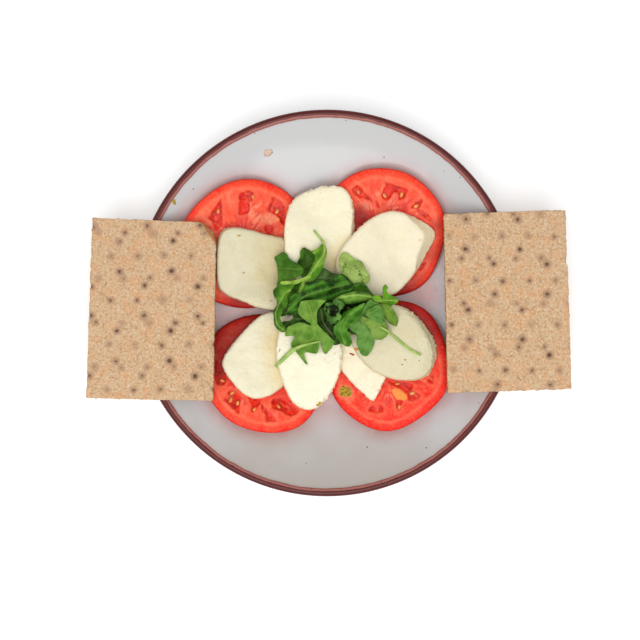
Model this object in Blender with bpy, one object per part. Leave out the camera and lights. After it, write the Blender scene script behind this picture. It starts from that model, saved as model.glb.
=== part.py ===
"""Tomato and mozzarella salad on its shallow stoneware plate, with two crispbreads across the rim.

Metres, +Z up. The origin is on the table under the middle of the plate, +X runs from the left
crispbread to the right one, and +Y points to the far side of the plate.

The food is laid piece by piece. The pile is a grid of heights that holds the top of all that is
down already, and each slice settles on it as a soft slab, part stiff board and part cloth.
"""
import math

import bmesh
import bpy
import numpy as np

MM = 0.001
GAP = 0.3 * MM  # the least space between two pieces that touch
LAID_GAP = 0.6 * MM  # the space under a laid slice, which its flat facets take some of

# the plate
PLATE_RADIUS = 125 * MM
PLATE_HEIGHT = 32 * MM
FLOOR_HEIGHT = 9.5 * MM
FLOOR_RADIUS = 60 * MM  # the floor is flat out to here
WALL_RADIUS = 119.8 * MM  # where the inner wall meets the lip
WALL_TOP = 29.8 * MM
WALL_POWER = 1.9  # how late the wall turns up
WALL_THICKNESS = 5.6 * MM
LIP_ROUND = 1.7 * MM
FOOT_RADIUS = 62 * MM
FOOT_WIDTH = 5 * MM
FOOT_RECESS = 3.6 * MM
PLATE_SEGMENTS = 56

# the tomato slices: edge points in millimetres, seen from above
TOMATO_THICKNESS = 7.5 * MM
TOMATO_SOFTNESS = 0.7  # 0 lies as a board, 1 sags as far as its bend radius lets it
TOMATO_BEND = 150 * MM  # the tightest arch it takes
TOMATO_SECTION = [(0, 0), (0.36, 0), (0.7, 0), (0.965, 0), (1, 0.3), (0.995, 0.75), (0.965, 1),
                  (0.7, 1), (0.36, 1), (0, 1)]  # share of the reach, share of the thickness
TOMATO_EDGES = {
    "tomato_slice_1": [(-97.4, 34.8), (-89.5, 58.4), (-68.6, 76.7), (-46, 81.3), (-21.5, 69.5),
                       (-12.5, 41.4), (-22, 8.5), (-52.9, -3.9), (-84.3, 7.4)],
    "tomato_slice_2": [(77.9, 47.9), (71.3, 68.8), (50.4, 85.8), (20.3, 86.5), (-3, 66),
                       (-6.4, 40), (10, 11), (38, 3.6), (66, 13.5)],
    "tomato_slice_3": [(-2.6, -48), (-12.4, -77.2), (-36, -85.2), (-65, -76), (-81.2, -50),
                       (-74, -20), (-50, -7.4), (-18, -12.5)],
    "tomato_slice_4": [(80.7, -44), (70.9, -66.7), (39.4, -84.6), (9, -69), (0.4, -42),
                       (11, -10.5), (40, 2.2), (68, -6.6)],
}

# the cheese slices, in the order they are laid
CHEESE_THICKNESS = 6.5 * MM
CHEESE_SOFTNESS = 0.78
CHEESE_BEND = 45 * MM
CHEESE_SECTION = [(0, 0), (0.36, 0), (0.7, 0), (0.955, 0), (1, 0.25), (0.985, 0.7), (0.935, 1),
                  (0.7, 1), (0.36, 1), (0, 1)]
CHEESE_EDGES = {
    "mozzarella_slice_4": [(-68.9, -40.9), (-65, -31.1), (-44.9, -8.3), (-32, -4.2), (-21, -7),
                           (-15.8, -24), (-20, -46), (-38.3, -61.1), (-54, -59.8)],
    "mozzarella_slice_1": [(-69.3, 47.2), (-58.5, 49.6), (-40, 45.3), (-22, 39.5), (-16.2, 22),
                           (-22, 0), (-38.3, -4.4), (-56.6, 1.4), (-70, 8), (-72.2, 27)],
    "mozzarella_slice_2": [(-28.2, 38), (-27, 57), (-22, 68.6), (-8, 74.8), (7, 77), (15.8, 71.5),
                           (18.2, 52), (15, 27), (2, 11.5), (-13, 10), (-24.5, 20)],
    "mozzarella_slice_3": [(74.2, 46.3), (61.9, 55), (42, 60.4), (26, 53.4), (9, 35.5), (4, 23),
                           (12, 9), (26, 4), (38, 3.6), (50.5, 10.5), (67, 33)],
    "mozzarella_slice_6": [(30, -65.8), (23.5, -59.1), (9.6, -45), (4, -31), (12, -19), (28, -16.5),
                           (41, -21), (45, -34), (38.4, -48), (34.5, -56.5)],
    "mozzarella_slice_5": [(10.2, -33), (8.4, -45.2), (2.6, -58.7), (-5, -68.2), (-14, -70), (-23, -64),
                           (-31, -44.5), (-33.6, -29), (-28, -11), (-13, -3), (2, -7), (8.5, -19)],
    "mozzarella_slice_7": [(72.3, -26.6), (65.8, -15.5), (58, -6.6), (44, -0.6), (28, -1), (17.5, -9),
                           (14.2, -21), (18.4, -32), (28, -43), (42, -49.5), (62, -50.2), (70.5, -42)],
}
# a slice cut on the slant reaches further below than above: direction in degrees, reach, sharpness
CHEESE_SLANTS = {
    "mozzarella_slice_3": (22, 9.5 * MM, 7),
    "mozzarella_slice_7": (15, 5 * MM, 1.6),
}
SLICE_SPOKES = 28

# the heap of rocket leaves
HEAP_EDGE = [(-33.6, 31), (-24, 30), (-14, 35), (-1, 38), (5, 26), (17, 30), (26, 20), (34, 10),
             (45, 1.5), (43, -12), (38, -21), (25, -32), (14, -29), (2, -31), (-10, -33),
             (-22, -28), (-30, -18), (-34.5, 0), (-32, 14)]
HEAP_SECTION = [(0, 0), (0.25, 0), (0.5, 0), (0.75, 0), (0.95, 0), (1, 0.1), (0.93, 0.3), (0.78, 0.62),
                (0.55, 0.85), (0.28, 0.97), (0, 1)]
HEAP_HEIGHT = 19 * MM
HEAP_LUMP = 2.4 * MM
HEAP_BEND = 16 * MM
HEAP_SPOKES = 40

# the crispbreads: corners in millimetres
BREAD_THICKNESS = 5 * MM
BREAD_EDGE_ROUND = 0.9 * MM
BREAD_CORNERS = {
    "crispbread_left": [(-151, 55), (-113.3, 53.6), (-79.5, 52.3), (-73.2, 46), (-70.6, 40),
                        (-71.4, -12), (-72.3, -63.4), (-113.3, -62.7), (-154.9, -61.5), (-153, -3)],
    "crispbread_right": [(153.5, 60.1), (154.2, 29), (153.6, 26), (155, 23), (157.4, -55.7),
                         (117, -57.2), (76.8, -58.3), (75.4, 0), (74.2, 57.5), (114, 59)],
}

# the grid of the pile
PILE_REACH = 126 * MM
PILE_STEP = 1 * MM
PILE_MARGIN = 0.7 * MM
EASE_STEPS = 40

LOOKS = {  # linear colour and roughness
    "stoneware": ((0.66, 0.64, 0.64), 0.18),
    "tomato": ((0.82, 0.06, 0.035), 0.3),
    "mozzarella": ((0.87, 0.83, 0.66), 0.45),
    "rocket": ((0.09, 0.22, 0.02), 0.45),
    "crispbread": ((0.62, 0.42, 0.26), 0.8),
}


# meshes and materials

def material(name):
    """Principled material from the table of looks."""
    colour, roughness = LOOKS[name]
    made = bpy.data.materials.new(name)
    made.use_nodes = True
    shader = made.node_tree.nodes["Principled BSDF"]
    shader.inputs["Base Color"].default_value = (*colour, 1.0)
    shader.inputs["Roughness"].default_value = roughness
    shader.inputs["Metallic"].default_value = 0.0
    return made


def add_object(name, bm, look):
    """Closed bmesh to a named object with its faces pointing out."""
    bmesh.ops.recalc_face_normals(bm, faces=bm.faces)
    mesh = bpy.data.meshes.new(name)
    bm.to_mesh(mesh)
    bm.free()
    mesh.materials.append(look)
    mesh.shade_smooth()
    mesh.set_sharp_from_angle(angle=math.radians(40))
    made = bpy.data.objects.new(name, mesh)
    bpy.context.collection.objects.link(made)
    return made


def turned(profile, segments, start=0.0):
    """Body of revolution about Z from (radius, height) points that begin and end on the axis."""
    bm = bmesh.new()
    chain = [bm.verts.new((r * math.cos(start), r * math.sin(start), z)) for r, z in profile]
    edges = [bm.edges.new(pair) for pair in zip(chain, chain[1:])]
    bmesh.ops.spin(bm, geom=chain + edges, cent=(0, 0, 0), axis=(0, 0, 1),
                   angle=math.tau, steps=segments, use_merge=True)
    bmesh.ops.remove_doubles(bm, verts=bm.verts, dist=1e-6)
    return bm


def edge_reach(points, steps=12):
    """Middle of an outline and its reach by direction, on a smooth closed curve through the points."""
    ring = np.array(points) * MM
    middle = (ring.min(axis=0) + ring.max(axis=0)) / 2
    t = (np.arange(steps) / steps)[:, None]
    before, after, beyond = np.roll(ring, 1, 0), np.roll(ring, -1, 0), np.roll(ring, -2, 0)
    curve = []
    for a, b, c, d in zip(before, ring, after, beyond):
        curve.append(b + t * (c - a) / 2 + t**2 * (a - 2.5 * b + 2 * c - d / 2)
                     + t**3 * (1.5 * (b - c) + (d - a) / 2))
    away = np.concatenate(curve) - middle
    angles, lengths = np.arctan2(away[:, 1], away[:, 0]), np.hypot(away[:, 0], away[:, 1])
    order = np.argsort(angles)
    angles, lengths = angles[order], lengths[order]

    def reach(direction):
        return np.interp(direction, angles, lengths, period=math.tau)

    return middle, reach


# the pile that the food settles on

def plate_inside(radius):
    """Height of the plate's inner face."""
    out = np.clip((radius - FLOOR_RADIUS) / (WALL_RADIUS - FLOOR_RADIUS), 0.0, None)
    return FLOOR_HEIGHT + (WALL_TOP - FLOOR_HEIGHT) * out**WALL_POWER


LINE = np.arange(-PILE_REACH, PILE_REACH + PILE_STEP / 2, PILE_STEP)
GRID_X, GRID_Y = np.meshgrid(LINE, LINE)


def neighbourhood_top(field):
    """The highest of each point and its four neighbours."""
    return np.max([field] + [np.roll(field, step, axis) for step in (1, -1) for axis in (0, 1)], axis=0)


def eased(field, bend_radius):
    """Lowest surface over the field that arches nowhere tighter than the bend radius."""
    steps = range(-EASE_STEPS, EASE_STEPS + 1)
    drops = [(step * PILE_STEP)**2 / (2 * bend_radius) for step in steps]
    for axis in (0, 1):
        field = np.max([np.roll(field, step, axis) - drop for step, drop in zip(steps, drops)], axis=0)
    return field


def resting_board(x, y, support):
    """Height and slopes of the lowest flat board over the supports, as its middle sinks down."""
    def lift(slopes):
        return float(np.max(support - slopes[0] * x - slopes[1] * y))

    turns = np.arange(16) * math.tau / 16
    slopes, step = np.zeros(2), 0.2
    while step > 1e-4:
        trials = [slopes + step * np.array((math.cos(turn), math.sin(turn))) for turn in turns]
        best = min(trials, key=lift)
        if lift(best) < lift(slopes) - 1e-8:
            slopes = best
        else:
            step /= 2
    return lift(slopes), slopes


def settle(pile, middle, reach, softness, bend_radius):
    """Underside of a slab that has come to rest on the pile, and where the slab is."""
    x, y = GRID_X - middle[0], GRID_Y - middle[1]
    inside = np.hypot(x, y) < reach(np.arctan2(y, x)) + PILE_MARGIN
    support = neighbourhood_top(pile) + LAID_GAP
    height, slopes = resting_board(x[inside], y[inside], support[inside])
    board = height + slopes[0] * x + slopes[1] * y
    sag = eased(np.where(inside, support - board, -1.0), bend_radius)
    return board + softness * sag, inside


def height_at(field, x, y):
    """Height of a grid between its own points."""
    column, row = (x + PILE_REACH) / PILE_STEP, (y + PILE_REACH) / PILE_STEP
    i, j = int(column), int(row)
    u, v = column - i, row - j
    low = field[j, i] * (1 - u) + field[j, i + 1] * u
    high = field[j + 1, i] * (1 - u) + field[j + 1, i + 1] * u
    return float(low * (1 - v) + high * v)


def lay(pile, name, points, section, thickness, softness, bend_radius, look, slant=(0, 0, 1)):
    """One slice: a turned puck stretched to its outline and laid on the pile. Returns the new pile."""
    middle, reach = edge_reach(points)
    bed, inside = settle(pile, middle, reach, softness, bend_radius)
    first = np.array(points[0]) * MM - middle
    bm = turned(section, SLICE_SPOKES, math.atan2(first[1], first[0]))
    slant_angle, slant_reach, sharpness = slant
    for vert in bm.verts:
        share, level = math.hypot(vert.co.x, vert.co.y), vert.co.z
        direction = math.atan2(vert.co.y, vert.co.x)
        facing = max(0.0, math.cos(direction - math.radians(slant_angle))) ** sharpness
        edge = float(reach(direction)) - slant_reach * facing * level
        x = middle[0] + share * edge * math.cos(direction)
        y = middle[1] + share * edge * math.sin(direction)
        vert.co = (x, y, height_at(bed, x, y) + level * thickness)
    add_object(name, bm, look)
    return np.where(inside, bed + thickness, pile)


# the pieces

def make_plate(look):
    """Coupe plate of one wall on a foot ring, with a rounded lip."""
    inner_radii = [r * MM for r in (40, 60, 66, 72, 79, 88, 97, 105, 112)] + [WALL_RADIUS]
    inner = [(r, float(plate_inside(r))) for r in inner_radii]
    outer = []
    for r in inner_radii[5:-1]:
        slope = float(plate_inside(r + 0.5 * MM) - plate_inside(r - 0.5 * MM)) / MM
        drop = WALL_THICKNESS / math.hypot(1.0, slope)
        outer.append((r + slope * drop, float(plate_inside(r)) - drop))
    foot_inside = FOOT_RADIUS - FOOT_WIDTH
    foot = [(0.0, FOOT_RECESS), (foot_inside - 3 * MM, FOOT_RECESS), (foot_inside, 1 * MM),
            (foot_inside + 1 * MM, 0.0), (FOOT_RADIUS - 1 * MM, 0.0), (FOOT_RADIUS, 1 * MM),
            (FOOT_RADIUS + 3 * MM, 3.9 * MM), (FOOT_RADIUS + 12 * MM, 4.5 * MM)]
    crest = PLATE_RADIUS - 1.6 * LIP_ROUND
    lip = [(PLATE_RADIUS, PLATE_HEIGHT - 1.3 * LIP_ROUND),
           (PLATE_RADIUS - 0.5 * LIP_ROUND, PLATE_HEIGHT - 0.35 * LIP_ROUND),
           (crest, PLATE_HEIGHT)]
    profile = foot + outer + lip + inner[::-1] + [(0.0, FLOOR_HEIGHT)]
    add_object("plate", turned(profile, PLATE_SEGMENTS), look)


def make_heap(pile, look):
    """The loose heap of leaves, out to its uneven outline, with a lumpy top."""
    middle, reach = edge_reach(HEAP_EDGE)
    bed, _ = settle(pile, middle, reach, 1.0, HEAP_BEND)
    bm = turned(HEAP_SECTION, HEAP_SPOKES)
    for vert in bm.verts:
        share, level = math.hypot(vert.co.x, vert.co.y), vert.co.z
        direction = math.atan2(vert.co.y, vert.co.x)
        out = share * float(reach(direction))
        x, y = middle[0] + out * math.cos(direction), middle[1] + out * math.sin(direction)
        lump = HEAP_LUMP * math.sin(x / (5 * MM)) * math.cos(y / (6 * MM) + x / (11 * MM))
        vert.co = (x, y, height_at(bed, x, y) + level * (HEAP_HEIGHT + lump))
    add_object("rocket_heap", bm, look)


def make_crispbread(name, corners, look):
    """Flat baked sheet lying across the lip of the plate."""
    bm = bmesh.new()
    bottom = PLATE_HEIGHT + GAP
    face = bm.faces.new([bm.verts.new((x * MM, y * MM, bottom)) for x, y in corners])
    grown = bmesh.ops.extrude_face_region(bm, geom=[face])["geom"]
    bmesh.ops.translate(bm, vec=(0, 0, BREAD_THICKNESS),
                        verts=[part for part in grown if isinstance(part, bmesh.types.BMVert)])
    rims = [edge for edge in bm.edges if edge.verts[0].co.z == edge.verts[1].co.z]
    bmesh.ops.bevel(bm, geom=rims, offset=BREAD_EDGE_ROUND, segments=2, profile=0.5, affect="EDGES")
    add_object(name, bm, look)


def main():
    for old in list(bpy.data.objects):
        bpy.data.objects.remove(old, do_unlink=True)
    looks = {name: material(name) for name in LOOKS}
    make_plate(looks["stoneware"])
    pile = plate_inside(np.hypot(GRID_X, GRID_Y))
    for name, points in TOMATO_EDGES.items():
        pile = lay(pile, name, points, TOMATO_SECTION, TOMATO_THICKNESS, TOMATO_SOFTNESS,
                   TOMATO_BEND, looks["tomato"])
    for name, points in CHEESE_EDGES.items():
        pile = lay(pile, name, points, CHEESE_SECTION, CHEESE_THICKNESS, CHEESE_SOFTNESS,
                   CHEESE_BEND, looks["mozzarella"], CHEESE_SLANTS.get(name, (0, 0, 1)))
    make_heap(pile, looks["rocket"])
    for name, corners in BREAD_CORNERS.items():
        make_crispbread(name, corners, looks["crispbread"])


main()
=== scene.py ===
import bmesh
import bpy
import math
import random
import numpy as np
from mathutils import Matrix, Vector, noise
from mathutils.bvhtree import BVHTree
from mathutils.kdtree import KDTree


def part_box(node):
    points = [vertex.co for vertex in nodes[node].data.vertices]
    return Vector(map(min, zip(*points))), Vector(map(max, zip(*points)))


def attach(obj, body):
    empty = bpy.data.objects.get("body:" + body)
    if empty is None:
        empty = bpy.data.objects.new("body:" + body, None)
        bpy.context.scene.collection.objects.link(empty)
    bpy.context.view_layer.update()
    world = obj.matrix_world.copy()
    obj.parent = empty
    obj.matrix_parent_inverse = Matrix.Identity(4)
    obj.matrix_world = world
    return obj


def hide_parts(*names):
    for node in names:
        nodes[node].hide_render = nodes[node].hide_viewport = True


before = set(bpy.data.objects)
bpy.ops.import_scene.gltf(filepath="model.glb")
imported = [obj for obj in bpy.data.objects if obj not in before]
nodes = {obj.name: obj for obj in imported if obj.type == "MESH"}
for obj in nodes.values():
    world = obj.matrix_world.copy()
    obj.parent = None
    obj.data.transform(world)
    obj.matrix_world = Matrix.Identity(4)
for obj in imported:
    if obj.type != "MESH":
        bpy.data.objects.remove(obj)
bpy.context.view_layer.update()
mm = 0.001
overhead = 0.1  # metres, higher than every piece


# materials

class Wire:  # one socket of a material, so that shader maths reads as sums
    def __init__(self, look, socket):
        self.look, self.socket = look, socket

    def maths(self, operation, *values):
        return self.look.node("ShaderNodeMath", {"operation": operation}, dict(enumerate(values)))

    def __add__(self, other):
        return self.maths("ADD", self, other)

    def __sub__(self, other):
        return self.maths("SUBTRACT", self, other)

    def __rsub__(self, other):
        return self.maths("SUBTRACT", other, self)

    def __mul__(self, other):
        return self.maths("MULTIPLY", self, other)

    def __truediv__(self, other):
        return self.maths("DIVIDE", self, other)

    def __abs__(self):
        return self.maths("ABSOLUTE", self)

    __radd__, __rmul__ = __add__, __mul__

    def root(self):
        return self.maths("SQRT", self)

    def fraction(self):
        return self.maths("FRACT", self)

    def band(self, start, end):  # 0 at start, 1 at end, smooth between
        return self.look.node("ShaderNodeMapRange", {"interpolation_type": "SMOOTHSTEP"},
                              {0: self, 1: start, 2: end})


class Look:  # one material: a Principled shader with its fixed sockets, and the nodes that feed it
    def __init__(self, name, fixed):
        self.material = bpy.data.materials.new(name)
        self.material.use_nodes = True
        self.tree = self.material.node_tree
        self.shader = self.tree.nodes["Principled BSDF"]
        for socket, value in fixed.items():
            self.shader.inputs[socket].default_value = value
        self.place = self.node("ShaderNodeTexCoord", {}, {}, "Object")

    def node(self, kind, settings, sockets, output=0):
        made = self.tree.nodes.new(kind)
        for name, value in settings.items():
            setattr(made, name, value)
        for name, value in sockets.items():
            if isinstance(value, Wire):
                self.tree.links.new(value.socket, made.inputs[name])
            else:
                made.inputs[name].default_value = value
        return Wire(self, made.outputs[output])

    def mix(self, first, second, factor, blend="MIX"):
        return self.node("ShaderNodeMix", {"data_type": "RGBA", "blend_type": blend},
                         {0: factor, 6: first, 7: second}, 2)

    def paint(self, colour, *coats):  # each coat is a colour and how much of it covers what lies below
        for coat, cover in coats:
            colour = self.mix(colour, coat, cover)
        return colour

    def clouds(self, size, detail=2, seed=0):  # size in millimetres
        return self.node("ShaderNodeTexNoise", {"noise_dimensions": "4D"},
                         {"Vector": self.place, "W": seed, "Scale": 1000 / size, "Detail": detail})

    def cells(self, size, feature="F1"):  # size in millimetres
        return self.node("ShaderNodeTexVoronoi", {"feature": feature},
                         {"Vector": self.place, "Scale": 1000 / size})

    def reading(self, name, output="Fac"):  # what the mesh carries under that name
        return self.node("ShaderNodeAttribute", {"attribute_name": name}, {}, output)

    def axes(self):
        spot = self.node("ShaderNodeSeparateXYZ", {}, {0: self.place})
        return [Wire(self, out) for out in spot.socket.node.outputs]

    def feed(self, colour=None, roughness=None, height=None, coat=None):  # height in millimetres
        if height is not None:
            height = self.node("ShaderNodeBump", {}, {"Height": height, "Distance": mm})
        fed = {"Base Color": colour, "Roughness": roughness, "Normal": height, "Coat Weight": coat}
        for socket, value in fed.items():
            if value is not None:
                self.tree.links.new(value.socket, self.shader.inputs[socket])


def shade(red, green, blue):  # a colour as screens number it, to what the shader takes
    light = [((value / 255 + 0.055) / 1.055) ** 2.4 for value in (red, green, blue)]
    return (*light, 1)


def shades(**colours):
    return {name: shade(*colour) for name, colour in colours.items()}


def glow(weight, colours, depth):  # how much light enters, and how deep in millimetres each colour goes
    return {"Subsurface Weight": weight, "Subsurface Radius": colours, "Subsurface Scale": depth * mm}


# meshes

def meshOf(bm, name):
    mesh = bpy.data.meshes.new(name)
    bm.to_mesh(mesh)
    bm.free()
    return mesh


def corners(mesh):
    spots = np.empty(3 * len(mesh.vertices))
    mesh.vertices.foreach_get("co", spots)
    return spots.reshape(-1, 3) / mm


def carry(mesh, name, values):  # gives every vertex a number that the material reads
    mesh.attributes.new(name, "FLOAT", "POINT").data.foreach_set("value", np.asarray(values, np.float32))


def carryTint(mesh, colours):
    mesh.attributes.new("tint", "FLOAT_COLOR", "POINT").data.foreach_set("color", colours.ravel())


def facings(mesh):
    facing = np.empty(3 * len(mesh.vertices))
    mesh.vertices.foreach_get("normal", facing)
    return facing.reshape(-1, 3)


def fromRim(spots, sectors=240):  # direction from the middle of a slice, and distance in from its outline
    away = spots - (spots.min(0) + spots.max(0)) / 2
    turn, reach = np.arctan2(away[:, 1], away[:, 0]), np.hypot(away[:, 0], away[:, 1])
    outline = np.zeros(sectors)
    np.maximum.at(outline, np.floor(turn / math.tau * sectors).astype(int) % sectors, reach)
    turns = (np.arange(sectors) + 0.5) / sectors * math.tau
    return turn, np.interp(turn, turns, outline, period=math.tau) - reach


def nearSpots(spots, circles):  # 1 at the middle of a circle (x, y, size, strength), 0 at its edge
    return np.sum([np.clip(1 - np.hypot(spots[:, 0] - x, spots[:, 1] - y) / size, 0, 1) * strength
                   for x, y, size, strength in circles], axis=0)


def crumpled(spots, size, octaves, place=(0, 0, 0)):  # rough noise, with the size of its folds in millimetres
    return np.array([noise.fractal(Vector(spot) / size + Vector(place), 1, 2, octaves) for spot in spots])


def surfacesOf(pieces):
    scene = bpy.context.evaluated_depsgraph_get()
    return [BVHTree.FromObject(piece, scene) for piece in pieces]


def plumb(surface, x, y):  # what a plumb line at x, y meets first: the place, its facing, face and distance
    return surface.ray_cast(Vector((x * mm, y * mm, overhead)), Vector((0, 0, -1)))


def shift(mesh, spots):
    mesh.vertices.foreach_set("co", (spots * mm).ravel())
    mesh.update()


def addPiece(name, mesh, look, stands=()):
    piece = bpy.data.objects.new(name, mesh)
    bpy.context.scene.collection.objects.link(piece)
    mesh.materials.clear()
    mesh.materials.append(look.material)
    mesh.shade_smooth()
    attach(piece, "root")
    if stands:
        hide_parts(*stands)
    return piece


def settled(name, mesh, modifiers):  # the mesh with its modifiers applied
    maker = bpy.data.objects.new(name, mesh)
    bpy.context.scene.collection.objects.link(maker)
    for kind, settings in modifiers:
        made = maker.modifiers.new(kind.title(), kind)
        for key, value in settings.items():
            setattr(made, key, value)
    ready = maker.evaluated_get(bpy.context.evaluated_depsgraph_get())
    result = bpy.data.meshes.new_from_object(ready)
    bpy.data.objects.remove(maker)
    result.name = name
    return result


def fineCopy(node, voxel, rounds):  # an even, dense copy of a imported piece
    bm = bmesh.new()
    bm.from_mesh(nodes[node].data)
    bmesh.ops.remove_doubles(bm, verts=bm.verts, dist=1e-6)
    bmesh.ops.join_triangles(bm, faces=bm.faces, angle_face_threshold=0.9, angle_shape_threshold=1.4)
    steps = [("REMESH", {"mode": "VOXEL", "voxel_size": voxel * mm})]
    if rounds:
        steps.insert(0, ("SUBSURF", {"levels": rounds, "render_levels": rounds}))
    else:  # not rounded off, only smoothed where the voxels leave steps
        steps.append(("SMOOTH", {"factor": 0.5, "iterations": 12}))
    return settled(node + "Fine", meshOf(bm, node), steps)


# lines in the plan view, in millimetres

def smoothLine(points, closed, steps=8):  # a curve that runs through every point
    line = np.array(points, float)
    if not closed:
        line = np.vstack([2 * line[0] - line[1], line, 2 * line[-1] - line[-2]])
    share = (np.arange(steps) / steps)[:, None]
    curve, neighbours = [], [np.roll(line, step, 0) for step in (1, 0, -1, -2)]
    for last, here, ahead, later in zip(*neighbours):
        slope = share * (ahead - last) / 2
        bend = share**2 * (last - 2.5 * here + 2 * ahead - later / 2)
        twist = share**3 * (1.5 * (here - ahead) + (later - last) / 2)
        curve.append(here + slope + bend + twist)
    return np.concatenate(curve if closed else curve[1:-2] + [line[-2:-1]])


def fromLine(spots, line, closed=False):  # distance, signed side, run along the line, nearest point
    starts = line if closed else line[:-1]
    ends = np.roll(line, -1, 0) if closed else line[1:]
    along = ends - starts
    lengths = np.maximum(np.hypot(*along.T), 1e-9)
    runs = np.concatenate([[0], np.cumsum(lengths)])[:-1]
    away = spots[:, None, :2] - starts
    share = np.clip((away * along).sum(2) / lengths**2, 0, 1)
    gap = away - share[..., None] * along
    distance = np.hypot(gap[..., 0], gap[..., 1])
    best = distance.argmin(1)
    row = np.arange(len(spots))
    side = np.sign(along[best, 0] * away[row, best, 1] - along[best, 1] * away[row, best, 0])
    nearest = starts[best] + share[row, best, None] * along[best]
    return distance[row, best], side, runs[best] + share[row, best] * lengths[best], nearest


def insideRing(spots, ring):
    x, y = spots[:, 0, None], spots[:, 1, None]
    nextRing = np.roll(ring, -1, 0)
    crosses = (ring[:, 1] > y) != (nextRing[:, 1] > y)
    rise = np.where(nextRing[:, 1] == ring[:, 1], 1e-9, nextRing[:, 1] - ring[:, 1])
    left = x < ring[:, 0] + (y - ring[:, 1]) * (nextRing[:, 0] - ring[:, 0]) / rise
    return (crosses & left).sum(1) % 2 == 1


def depthIn(spots, ring):  # how far inside a ring, negative outside
    distance = fromLine(spots, ring, True)[0]
    return np.where(insideRing(spots, ring), distance, -distance)


# stage, light and camera

stage = {"floor": shade(250, 250, 250), "floorGlow": 0.18, "floorSize": 4, "floorDrop": 0.3, "sky": 0.58,
         "key": 14, "keySize": 1.2, "keyFrom": (-0.05, -0.45, 1.4)}
view = {"beside": (-4.5, -11), "above": 800, "lens": 69.84, "sensor": 36}  # millimetres

bm = bmesh.new()
bmesh.ops.create_grid(bm, x_segments=2, y_segments=2, size=stage["floorSize"])
bmesh.ops.translate(bm, verts=bm.verts, vec=(0, 0, -stage["floorDrop"] * mm))
floorMesh = meshOf(bm, "floor")
floor = bpy.data.objects.new("floor", floorMesh)
bpy.context.scene.collection.objects.link(floor)
floorLook = Look("paleFloor", {"Base Color": stage["floor"], "Roughness": 0.9, "Emission Color": (1, 1, 1, 1),
                               "Emission Strength": stage["floorGlow"]})
floorMesh.materials.append(floorLook.material)

world = bpy.data.worlds.new("studio")
world.use_nodes = True
world.node_tree.nodes["Background"].inputs["Color"].default_value = (1, 1, 1, 1)
world.node_tree.nodes["Background"].inputs["Strength"].default_value = stage["sky"]
bpy.context.scene.world = world

lamp = bpy.data.lights.new("key", "AREA")
lamp.energy, lamp.size = stage["key"], stage["keySize"]
key = bpy.data.objects.new("key", lamp)
key.location = stage["keyFrom"]
key.rotation_euler = (-Vector(stage["keyFrom"])).to_track_quat("-Z", "Y").to_euler()
bpy.context.scene.collection.objects.link(key)

lens = bpy.data.cameras.new("camera")
lens.lens, lens.sensor_width = view["lens"], view["sensor"]
camera = bpy.data.objects.new("camera", lens)
beside = [away * mm for away in view["beside"]]
camera.location = (*beside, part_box("plate")[1].z + view["above"] * mm)
bpy.context.scene.collection.objects.link(camera)
bpy.context.scene.camera = camera
bpy.context.scene.view_settings.view_transform = "Standard"
print("stage ready")


# plate

plate = {
    "radius": 125, "height": 32, "floor": 9.5, "flat": 60, "wallRadius": 119.8, "wallTop": 29.8, "turn": 1.9,
    "wall": 5.6, "lip": 1.7, "foot": 62, "footWidth": 5, "recess": 3.6, "segments": 168, "juice": 8,
    "leastJuice": 0.25, "juiceTint": (0.92, 0.45, 0.42, 1),
    "puddles": [(67, 3, 17, 0.8), (-72, -11, 13, 0.5), (-100, -30, 22, 0.3), (92, -62, 24, 0.25)],
    **shades(glaze=(203, 204, 204), warmGlaze=(186, 180, 173), speck=(120, 95, 82), brown=(84, 16, 10),
             redBrown=(150, 76, 66), worn=(190, 138, 130), clay=(188, 164, 140), darkBrown=(118, 44, 34))}


def plateInside(radius):
    out = np.clip((radius - plate["flat"]) / (plate["wallRadius"] - plate["flat"]), 0, None)
    return plate["floor"] + (plate["wallTop"] - plate["floor"]) * out ** plate["turn"]


def plateProfile():
    foot, inside = plate["foot"], plate["foot"] - plate["footWidth"]
    base = [(0, plate["recess"]), (inside - 3, plate["recess"]), (inside, 1), (inside + 1, 0), (foot - 1, 0),
            (foot, 1), (foot + 3, 3.9), (foot + 12, 4.5)]
    outer, lip = [], plate["lip"]
    for radius in np.linspace(88, 112, 9):
        slope = plateInside(radius + 0.5) - plateInside(radius - 0.5)
        drop = plate["wall"] / math.hypot(1, slope)
        outer.append((radius + slope * drop, plateInside(radius) - drop))
    rounding = [(0, 1.3), (0.16, 0.75), (0.5, 0.35), (0.95, 0.08), (1.6, 0), (2.3, 0.3)]  # in lip radii
    crest = [(plate["radius"] - inward * lip, plate["height"] - down * lip) for inward, down in rounding]
    inner = [(radius, plateInside(radius)) for radius in np.linspace(plate["wallRadius"], 40, 36)]
    return base + outer + crest + inner + [(20, plate["floor"]), (0, plate["floor"])]


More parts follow.
